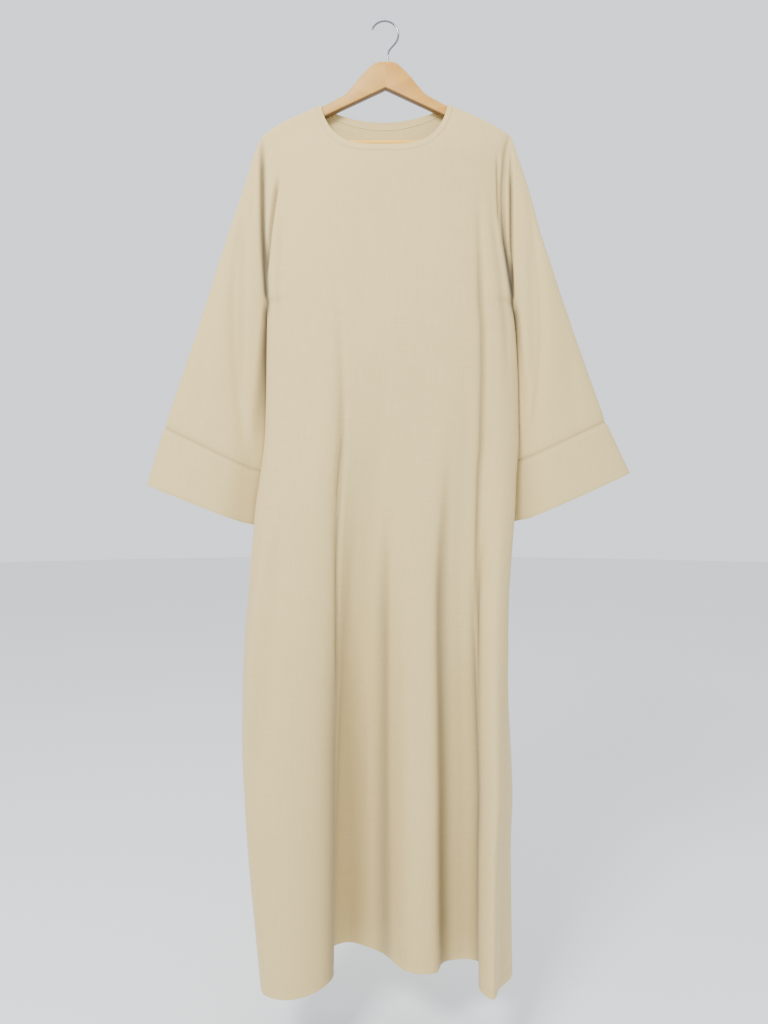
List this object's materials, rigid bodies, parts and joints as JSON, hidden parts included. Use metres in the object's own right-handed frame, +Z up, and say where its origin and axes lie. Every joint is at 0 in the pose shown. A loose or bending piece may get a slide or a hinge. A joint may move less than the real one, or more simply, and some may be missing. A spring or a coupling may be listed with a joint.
{
  "type": "abaya on a wooden hanger",
  "caption": "A plain long beige abaya with wide cuffed sleeves and a round neck, hanging on a wooden hanger with a wire hook",
  "frame": {"origin": "inside top of the hook, above the garment's middle", "axes": "+X to the viewer's right, +Y away from the viewer, +Z up"},
  "size_m": [0.8183, 0.1814, 1.5927],
  "materials": {
    "cloth": "matte crepe weave with slight slubs",
    "light_wood": "satin lacquer over straight grain",
    "warm_wood": "satin lacquer over straight grain",
    "chrome": "polished"
  },
  "bodies": {
    "root": {"front": "cloth", "back": "cloth", "neck_band": "cloth", "left_sleeve": "cloth", "right_sleeve": "cloth", "left_cuff": "cloth", "right_cuff": "cloth", "hanger_left_arm": "light_wood", "hanger_right_arm": "warm_wood", "hanger_bar": "warm_wood", "hook": "chrome"}
  },
  "joints": []
}
